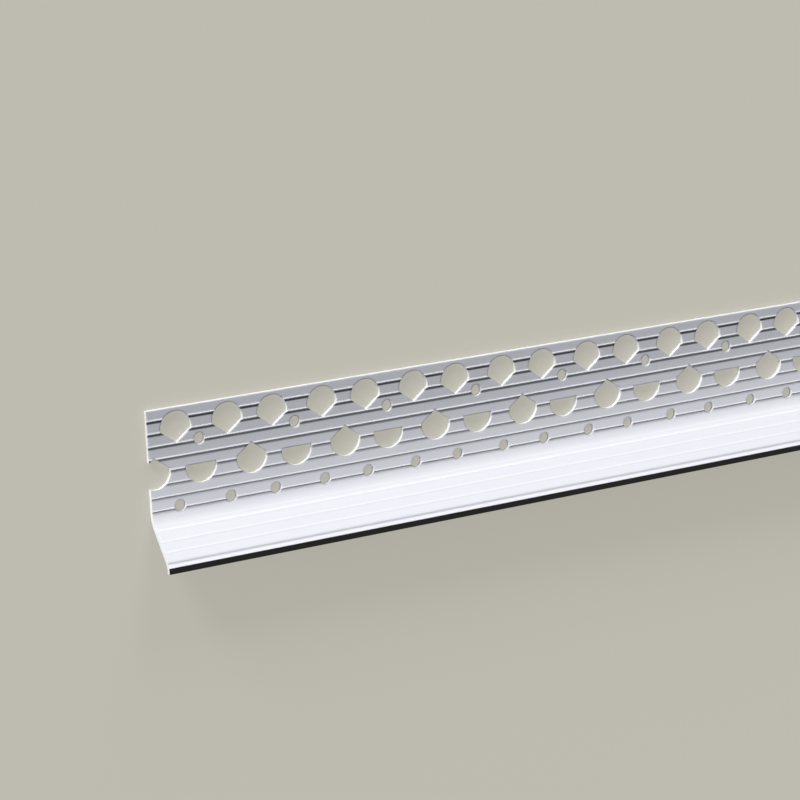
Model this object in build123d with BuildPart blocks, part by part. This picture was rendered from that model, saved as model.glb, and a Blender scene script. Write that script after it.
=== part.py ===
from build123d import *
import math
import os

# Bellcast render bead: one extruded and punched strip of PVC-U.
# It lies on the back of its flange. +X runs along its length, +Y towards the flange's free edge
# and +Z out of the wall, towards the render. The origin is at the middle of its base.

# Stock
length = 2500.0

# Section, as corners that are then rounded
sheet = 1.2
overall_height = 44.7
flange_height = 32.2
bell_angle = 40.0
bend_radius = 7.5
lip_stand_off = 8.95
lip_radius = 3.0
neck_radius = 1.0
edge_radius = 0.2

# Drip lip at the foot of the bell
drip_thickness = 1.25
drip_face = 1.8
drip_step = 0.85
drip_slope = 0.9

# Keying ribs on the front
rib_height = 0.15
rib_base = 0.6
rib_first = 3.0
rib_pitch = 3.67
flange_ribs = 8
bell_rib_height = 0.08
bell_rib_first = 2.9
bell_rib_pitch = 3.36
bell_ribs = 3

# Punched pattern, along from the cut end and down from the free edge
period = 30.0
key_radius = 4.8
key_shoulder = 0.7
key_point = 4.3
upper_key_line = 5.9
upper_key_first = 8.7
upper_key_second = 24.6
lower_key_line = 17.9
lower_key_first = 1.6
half_moon_first = 15.8
nail_radius = 1.7
upper_nail_line = 10.05
upper_nail_first = 15.7
lower_nail_line = 28.2
lower_nail_first = 8.7
lower_nail_second = 24.6
punch_overrun = 1.0

# Derived places
turn = math.radians(bell_angle)
free_edge = overall_height / 2
foot = free_edge - overall_height
bend_line = free_edge - flange_height
lip_front = lip_stand_off + drip_thickness
drip_top = foot + drip_face
neck_front = lip_front - drip_step
cut_end = -length / 2


def front_of_bell(out):
    """Height of the bell's front face where it stands this far out of the wall."""
    return bend_line + (sheet - out * math.cos(turn)) / math.sin(turn)


def row(first, reach):
    """Places along the stock of one hole in each period, with those that a cut end halves."""
    places = [cut_end + first + n * period for n in range(-1, math.ceil(length / period) + 1)]
    return [x for x in places if abs(x) < length / 2 + reach]


def on_line(firsts, reach, line):
    """Centres of the holes that share one line along the flange."""
    return [(x, free_edge - line) for first in firsts for x in row(first, reach)]


shoulder_half = math.sqrt(key_radius**2 - key_shoulder**2)
shoulder_turn = math.degrees(math.asin(key_shoulder / key_radius))

bell_top = Vector(front_of_bell(sheet), sheet)
down_bell = Vector(-math.cos(turn), math.sin(turn))
bell_rib_feet = [bell_top + down_bell * (bell_rib_first + n * bell_rib_pitch) for n in range(bell_ribs)]

with BuildSketch() as rib:
    with BuildLine():
        Polyline((-rib_base / 2, 0), (rib_base / 2, 0), (0, rib_height), close=True)
    make_face()

with BuildSketch() as bell_rib:
    with BuildLine():
        Polyline((-rib_base / 2, 0), (rib_base / 2, 0), (0, bell_rib_height), close=True)
    make_face()

with BuildSketch() as key_hole:
    with BuildLine():
        CenterArc((0, 0), key_radius, -shoulder_turn, 180 + 2 * shoulder_turn)
        Polyline((-shoulder_half, -key_shoulder), (0, -key_point), (shoulder_half, -key_shoulder))
    make_face()

with BuildSketch() as half_moon:
    with BuildLine():
        CenterArc((0, 0), key_radius, 180 - shoulder_turn, 180 + 2 * shoulder_turn)
        Line((shoulder_half, key_shoulder), (-shoulder_half, key_shoulder))
    make_face()

with BuildPart() as bellcast_bead:
    with BuildSketch(Plane.YZ.offset(cut_end)):
        with BuildLine():
            FilletPolyline(
                (free_edge, 0),
                (bend_line, 0),
                (bend_line - lip_stand_off / math.tan(turn), lip_stand_off),
                (foot, lip_stand_off),
                (foot, lip_front),
                (drip_top, lip_front),
                (drip_top + drip_slope, neck_front),
                (front_of_bell(neck_front), neck_front),
                (front_of_bell(sheet), sheet),
                (free_edge, sheet),
                radius=[
                    edge_radius,
                    bend_radius,
                    lip_radius,
                    edge_radius,
                    edge_radius,
                    edge_radius,
                    edge_radius,
                    neck_radius,
                    bend_radius - sheet,
                    edge_radius,
                ],
                close=True,
            )
        make_face()
        with Locations(*[(free_edge - rib_first - n * rib_pitch, sheet) for n in range(flange_ribs)]):
            add(rib.sketch)
        with Locations(*bell_rib_feet):
            add(bell_rib.sketch, rotation=-bell_angle)
    extrude(amount=length)

    with BuildSketch(Plane.XY.offset(-punch_overrun)) as punching:
        with Locations(*on_line([upper_key_first, upper_key_second], key_radius, upper_key_line)):
            add(key_hole.sketch)
        with Locations(*on_line([lower_key_first], key_radius, lower_key_line)):
            add(key_hole.sketch, rotation=180)
        with Locations(*on_line([half_moon_first], key_radius, lower_key_line)):
            add(half_moon.sketch)
        with Locations(*on_line([upper_nail_first], nail_radius, upper_nail_line)):
            Circle(nail_radius)
        with Locations(*on_line([lower_nail_first, lower_nail_second], nail_radius, lower_nail_line)):
            Circle(nail_radius)
    extrude(amount=sheet + rib_height + 2 * punch_overrun, mode=Mode.SUBTRACT)

bellcast_bead.part.label = "bellcast_bead"
os.makedirs("parts", exist_ok=True)
export_step(bellcast_bead.part, "parts/bellcast_bead.step")
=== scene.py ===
import math

import bmesh
import bpy
from mathutils import Matrix, Vector

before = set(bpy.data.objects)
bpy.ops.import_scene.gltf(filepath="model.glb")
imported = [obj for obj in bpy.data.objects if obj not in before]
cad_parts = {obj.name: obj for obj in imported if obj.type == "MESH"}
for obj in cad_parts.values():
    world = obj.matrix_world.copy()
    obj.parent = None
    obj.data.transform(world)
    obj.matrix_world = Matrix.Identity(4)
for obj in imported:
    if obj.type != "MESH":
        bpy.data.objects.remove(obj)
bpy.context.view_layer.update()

# The bead's own places, in metres, on the axes that the part is stored in:
# x along the stock, y up the flange to its free edge, z out of the wall
CUT_END = -1.25
FREE_EDGE = 0.02235
FOOT = -0.02235
BEND_START = FREE_EDGE - 0.0295
FRONT_SKIN = 0.0010
LIP_FRONT = 0.0102
DRIP_FACE = 0.0018

# Ribs of the flange, down from the free edge
FIRST_RIB = 0.0030
RIB_PITCH = 0.00367
RIB_HALF_BASE = 0.0003

# Shade under each rib, in shares of the pitch below the rib's upper foot, as the place of
# each edge and how soft it is; then how strong it is, from near the free edge to the bend
SHADE_TOP = (0.150, 0.05)
SHADE_END = (0.310, 0.08)
SHADE_PLACES = (0.004, 0.027)
SHADE_STRENGTH = (0.97, 0.08)

# Soft shoulder around each rib's crest, which fades out towards the bend
SHOULDER_HALF = 0.00045
SHOULDER_HEIGHT = 0.00013
SHOULDER_FADES = (0.014, 0.027)

# Slight bow of the flange, down from the free edge, and its slope where it is steepest
BOW_START = 0.004
BOW_STEEPEST = 0.030
BOW_END = 0.0345
BOW_SLOPE = 0.42

# Rolled edges: their radius, and how much further the punched rims lean in
ARRIS = 0.00055
RIM_LEAN = 0.8

# Stretch of the noise on each axis, its detail and its roughness
DIE_LINES = ((1.2, 2600.0, 2600.0), 3.0, 0.6)
BROAD_LINES = ((2.0, 420.0, 420.0), 2.0, 0.5)
CLOUDS = ((26.0, 60.0, 60.0), 3.0, 0.55)
SAW_MARKS = ((300.0, 500.0, 5200.0), 3.0, 0.65)

# Colours
SKIN_COOL = (0.795, 0.800, 0.875, 1)
SKIN_PALE = (0.855, 0.860, 0.915, 1)
SKIN_WARM = (0.90, 0.895, 0.885, 1)
# whiter raw cuts, and painted highlight on the punched walls and the rolled rims
RAW_WHITE_AND_HIGHLIGHT = (0.93, 0.93, 0.925, 1)
RIB_SHADE = (0.07, 0.07, 0.08, 1)
# painted shade: black that stands in for the deep shade on the drip lip's front face
LIP_PAINTED_SHADE = (0.0015, 0.0015, 0.0015, 1)
FLOOR_PAINT = (0.25, 0.245, 0.215, 1)
FLOOR_GLOW = (0.93, 0.90, 0.78, 1)
FILL_LIGHT = (0.82, 0.88, 1.0, 1)
BACKDROP = (0.53, 0.515, 0.445, 1)

# Floor and fill
FLOOR_REACH = 30.0
FLOOR_DROP = 0.00002
FLOOR_GLOW_STRENGTH = 0.43
FILL_STRENGTH = 0.11

# Camera, as it was solved from the photograph
FRAME_PIXELS = 800
FOCAL_PIXELS = 2879.241
SENSOR = 36.0
EYE = Vector((-1.564456, 0.202070, 0.706651))
FORWARD = Vector((0.475252, -0.227484, -0.849934))
RIGHT = Vector((0.866935, -0.043831, 0.496490))
UP = Vector((0.150196, 0.972795, -0.176383))


def link(tree, a, b):
    tree.links.new(a, b)


def put(tree, value, socket):
    """Join an output to a socket, or set the socket to a plain value."""
    if isinstance(value, (int, float, tuple)):
        socket.default_value = value
    else:
        link(tree, value, socket)


def maths(tree, op, a, b=None, clamp=False):
    node = tree.nodes.new("ShaderNodeMath")
    node.operation = op
    node.use_clamp = clamp
    put(tree, a, node.inputs[0])
    if b is not None:
        put(tree, b, node.inputs[1])
    return node.outputs[0]


def plus(tree, a, b, clamp=False):
    return maths(tree, "ADD", a, b, clamp)


def minus(tree, a, b, clamp=False):
    return maths(tree, "SUBTRACT", a, b, clamp)


def times(tree, a, b):
    return maths(tree, "MULTIPLY", a, b)


def outside(tree, mask):
    return minus(tree, 1.0, mask)


def vector_maths(tree, op, a, b=None):
    node = tree.nodes.new("ShaderNodeVectorMath")
    node.operation = op
    link(tree, a, node.inputs[0])
    if b is not None:
        link(tree, b, node.inputs[1])
    return node.outputs["Vector"]


def scaled(tree, vector, amount):
    node = tree.nodes.new("ShaderNodeVectorMath")
    node.operation = "SCALE"
    link(tree, vector, node.inputs[0])
    link(tree, amount, node.inputs["Scale"])
    return node.outputs["Vector"]


def ramp(tree, value, start, end, from_value=0.0, to_value=1.0, kind="LINEAR"):
    node = tree.nodes.new("ShaderNodeMapRange")
    node.interpolation_type = kind
    link(tree, value, node.inputs["Value"])
    node.inputs["From Min"].default_value = start
    node.inputs["From Max"].default_value = end
    node.inputs["To Min"].default_value = from_value
    node.inputs["To Max"].default_value = to_value
    return node.outputs["Result"]


def step(tree, value, edge, width):
    """0 below the edge and 1 above it, softened over the width."""
    return ramp(tree, value, edge - width / 2, edge + width / 2, kind="SMOOTHSTEP")


def axes(tree, vector):
    node = tree.nodes.new("ShaderNodeSeparateXYZ")
    link(tree, vector, node.inputs[0])
    return node.outputs


def noise(tree, vector, stretch, detail, rough):
    mapping = tree.nodes.new("ShaderNodeMapping")
    mapping.inputs["Scale"].default_value = stretch
    link(tree, vector, mapping.inputs["Vector"])
    node = tree.nodes.new("ShaderNodeTexNoise")
    node.inputs["Scale"].default_value = 1.0
    node.inputs["Detail"].default_value = detail
    node.inputs["Roughness"].default_value = rough
    link(tree, mapping.outputs["Vector"], node.inputs["Vector"])
    return node.outputs["Fac"]


def mix_colour(tree, factor, a, b):
    node = tree.nodes.new("ShaderNodeMix")
    node.data_type = "RGBA"
    link(tree, factor, node.inputs[0])
    put(tree, a, node.inputs[6])
    put(tree, b, node.inputs[7])
    return node.outputs[2]


def bump(tree, height, normal, strength, distance):
    node = tree.nodes.new("ShaderNodeBump")
    node.inputs["Strength"].default_value = strength
    node.inputs["Distance"].default_value = distance
    link(tree, height, node.inputs["Height"])
    link(tree, normal, node.inputs["Normal"])
    return node.outputs["Normal"]


def rolled_edges(tree, flat, facing_out):
    """Normal of the skin with its edges rolled over, and a mask of the rims that lean in."""
    bevel = tree.nodes.new("ShaderNodeBevel")
    bevel.samples = 6
    bevel.inputs["Radius"].default_value = ARRIS
    rolled = bevel.outputs["Normal"]
    lean = ramp(tree, outside(tree, axes(tree, rolled)[2]), 0.05, 0.20)
    lean = times(tree, lean, step(tree, facing_out, 0.85, 0.1))
    extra = vector_maths(tree, "SUBTRACT", rolled, flat)
    turned = vector_maths(tree, "ADD", rolled, scaled(tree, extra, times(tree, lean, RIM_LEAN)))
    # the walls of the holes keep the normal of their own face
    wall = outside(tree, step(tree, maths(tree, "ABSOLUTE", facing_out), 0.4, 0.2))
    back = scaled(tree, vector_maths(tree, "SUBTRACT", flat, turned), wall)
    turned = vector_maths(tree, "ADD", turned, back)
    return vector_maths(tree, "NORMALIZE", turned), lean


def bow_and_shoulders(tree, down, rib_phase, on_flange):
    """Height that bows the flange out towards the bend and puts each rib on a soft shoulder."""
    near = ramp(tree, down, BOW_START, BOW_STEEPEST)
    far = ramp(tree, down, BOW_STEEPEST, BOW_END)
    rise = times(tree, maths(tree, "POWER", near, 3.0), BOW_SLOPE * (BOW_STEEPEST - BOW_START) / 3)
    slowing = minus(tree, far, times(tree, times(tree, far, far), 0.5))
    rise = plus(tree, rise, times(tree, slowing, BOW_SLOPE * (BOW_END - BOW_STEEPEST)))
    off_crest = minus(tree, times(tree, rib_phase, RIB_PITCH / SHOULDER_HALF), 1.0)
    shoulder = outside(tree, maths(tree, "ABSOLUTE", off_crest))
    shoulder = times(tree, maths(tree, "MAXIMUM", shoulder, 0.0), on_flange)
    tall = ramp(tree, down, *SHOULDER_FADES, SHOULDER_HEIGHT, 0.0)
    return plus(tree, rise, times(tree, shoulder, tall))


def pvc():
    """White extruded PVC-U with die lines, paler cut walls partly painted as highlight, painted
    highlight on the rolled rims, painted shade under the ribs and black painted shade on the drip
    lip's front.
    """
    material = bpy.data.materials.new("pvc_white_extruded")
    material.use_nodes = True
    tree = material.node_tree
    shader = tree.nodes["Principled BSDF"]
    coords = tree.nodes.new("ShaderNodeTexCoord").outputs["Object"]
    x, y, z = axes(tree, coords)
    flat = tree.nodes.new("ShaderNodeNewGeometry").outputs["True Normal"]
    facing_out = axes(tree, flat)[2]
    down = minus(tree, FREE_EDGE, y)

    # die lines run the whole length, so the pattern hardly changes along it
    fine = noise(tree, coords, *DIE_LINES)
    broad = noise(tree, coords, *BROAD_LINES)
    cloud = noise(tree, coords, *CLOUDS)
    tone = mix_colour(tree, broad, SKIN_COOL, SKIN_PALE)
    tone = mix_colour(tree, times(tree, cloud, 0.35), tone, SKIN_WARM)

    # the punched walls and the sawn end are whiter and rougher raw cuts than the skin; the whiter
    # colour on the walls is partly painted highlight, and on the rims of the rolled edges it is
    # painted highlight
    rim, lean = rolled_edges(tree, flat, facing_out)
    wall = outside(tree, step(tree, maths(tree, "ABSOLUTE", facing_out), 0.2, 0.2))
    wall = times(tree, wall, step(tree, y, BEND_START + 0.0005, 0.0006))
    sawn = outside(tree, step(tree, x, CUT_END + 0.00006, 0.00006))
    raw_cut_and_highlight = maths(tree, "MAXIMUM", maths(tree, "MAXIMUM", wall, sawn), lean)
    tone = mix_colour(tree, times(tree, raw_cut_and_highlight, 0.75), tone, RAW_WHITE_AND_HIGHLIGHT)

    # the shade that sits under each rib of the flange, deepest near the free edge
    below_foot = minus(tree, down, FIRST_RIB - RIB_HALF_BASE)
    rib_phase = maths(tree, "FRACT", maths(tree, "DIVIDE", below_foot, RIB_PITCH))
    on_flange = times(tree, step(tree, z, FRONT_SKIN, 0.0001),
                      step(tree, y, BEND_START - 0.0005, 0.0002))
    on_flange = times(tree, on_flange, step(tree, down, FIRST_RIB - 0.0004, 0.0001))
    shade = times(tree, step(tree, rib_phase, *SHADE_TOP),
                  outside(tree, step(tree, rib_phase, *SHADE_END)))
    strength = ramp(tree, down, *SHADE_PLACES, *SHADE_STRENGTH)
    shade = times(tree, times(tree, shade, on_flange), strength)
    tone = mix_colour(tree, shade, tone, RIB_SHADE)

    # front face of the drip lip, painted black as the deep shade on its undercut front
    face = times(tree, step(tree, z, LIP_FRONT - 0.00014, 0.00004),
                 outside(tree, step(tree, y, FOOT + DRIP_FACE, 0.00008)))
    tone = mix_colour(tree, face, tone, LIP_PAINTED_SHADE)
    link(tree, tone, shader.inputs["Base Color"])

    rough = plus(tree, times(tree, fine, 0.14), 0.40)
    rough = plus(tree, rough, times(tree, raw_cut_and_highlight, 0.3), clamp=True)
    rough = minus(tree, rough, times(tree, face, 0.15), clamp=True)
    link(tree, rough, shader.inputs["Roughness"])
    shader.inputs["IOR"].default_value = 1.53
    shader.inputs["Specular IOR Level"].default_value = 0.35
    shader.inputs["Subsurface Weight"].default_value = 0.04
    shader.inputs["Subsurface Radius"].default_value = (0.0012, 0.0011, 0.001)
    shader.inputs["Subsurface Scale"].default_value = 1.0

    saw = noise(tree, coords, *SAW_MARKS)
    grain = plus(tree, times(tree, fine, 0.6), times(tree, broad, 0.9))
    grain = plus(tree, grain, times(tree, times(tree, saw, raw_cut_and_highlight), 2.5))
    form = bow_and_shoulders(tree, down, rib_phase, on_flange)
    normal = bump(tree, form, rim, 1.0, 1.0)
    normal = bump(tree, grain, normal, 0.35, 0.00003)
    link(tree, normal, shader.inputs["Normal"])
    return material


def seen_rays(tree):
    """1 for rays that show the background or its mirror image, and 0 for those that light."""
    rays = tree.nodes.new("ShaderNodeLightPath")
    seen = maths(tree, "MAXIMUM", rays.outputs["Is Camera Ray"], rays.outputs["Is Glossy Ray"])
    return maths(tree, "MAXIMUM", seen, rays.outputs["Is Transmission Ray"])


def floor_paint():
    """Plain paint that the camera sees paler than it lights the bead."""
    material = bpy.data.materials.new("floor_pale")
    material.use_nodes = True
    tree = material.node_tree
    shader = tree.nodes["Principled BSDF"]
    shader.inputs["Base Color"].default_value = FLOOR_PAINT
    shader.inputs["Roughness"].default_value = 0.9
    shader.inputs["Specular IOR Level"].default_value = 0.1
    glow = tree.nodes.new("ShaderNodeEmission")
    glow.inputs["Color"].default_value = FLOOR_GLOW
    link(tree, times(tree, seen_rays(tree), FLOOR_GLOW_STRENGTH), glow.inputs["Strength"])
    both = tree.nodes.new("ShaderNodeAddShader")
    link(tree, shader.outputs[0], both.inputs[0])
    link(tree, glow.outputs[0], both.inputs[1])
    link(tree, both.outputs[0], tree.nodes["Material Output"].inputs["Surface"])
    return material


def place(name, data):
    item = bpy.data.objects.new(name, data)
    bpy.context.scene.collection.objects.link(item)
    return item


def sun(name, towards, strength, angle):
    lamp = bpy.data.lights.new(name, "SUN")
    lamp.energy = strength
    lamp.angle = math.radians(angle)
    holder = place(name, lamp)
    holder.rotation_euler = Vector(towards).to_track_quat("Z", "Y").to_euler()


# Bead
white = pvc()
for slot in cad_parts["bellcast_bead"].material_slots:
    slot.material = white

# Floor
floor_mesh = bpy.data.meshes.new("floor")
sheet = bmesh.new()
bmesh.ops.create_grid(sheet, x_segments=1, y_segments=1, size=FLOOR_REACH,
                      matrix=Matrix.Translation((0.0, 0.0, -FLOOR_DROP)))
sheet.to_mesh(floor_mesh)
sheet.free()
floor_mesh.materials.append(floor_paint())
floor = place("floor", floor_mesh)

# Light
world = bpy.data.worlds.new("studio")
bpy.context.scene.world = world
world.use_nodes = True
sky = world.node_tree
fill = sky.nodes["Background"]
fill.inputs["Color"].default_value = FILL_LIGHT
fill.inputs["Strength"].default_value = FILL_STRENGTH
backdrop = sky.nodes.new("ShaderNodeBackground")
backdrop.inputs["Color"].default_value = BACKDROP
backdrop.inputs["Strength"].default_value = 1.0
either = sky.nodes.new("ShaderNodeMixShader")
link(sky, seen_rays(sky), either.inputs[0])
link(sky, fill.outputs[0], either.inputs[1])
link(sky, backdrop.outputs[0], either.inputs[2])
link(sky, either.outputs[0], sky.nodes["World Output"].inputs["Surface"])
sun("key", (-0.55, 0.80, 0.24), 2.0, 20)
sun("side", (-0.97, 0.12, 0.20), 1.5, 25)
sun("top", (0.25, 0.93, 0.24), 1.4, 25)

# Camera
camera_data = bpy.data.cameras.new("camera")
camera_data.sensor_width = SENSOR
camera_data.lens = FOCAL_PIXELS / FRAME_PIXELS * SENSOR
camera_data.clip_start = 0.01
camera = place("camera", camera_data)
camera.matrix_world = (Matrix.Translation(EYE)
                       @ Matrix((RIGHT, UP, -FORWARD)).transposed().to_4x4())
bpy.context.scene.camera = camera
bpy.context.scene.view_settings.view_transform = "Standard"
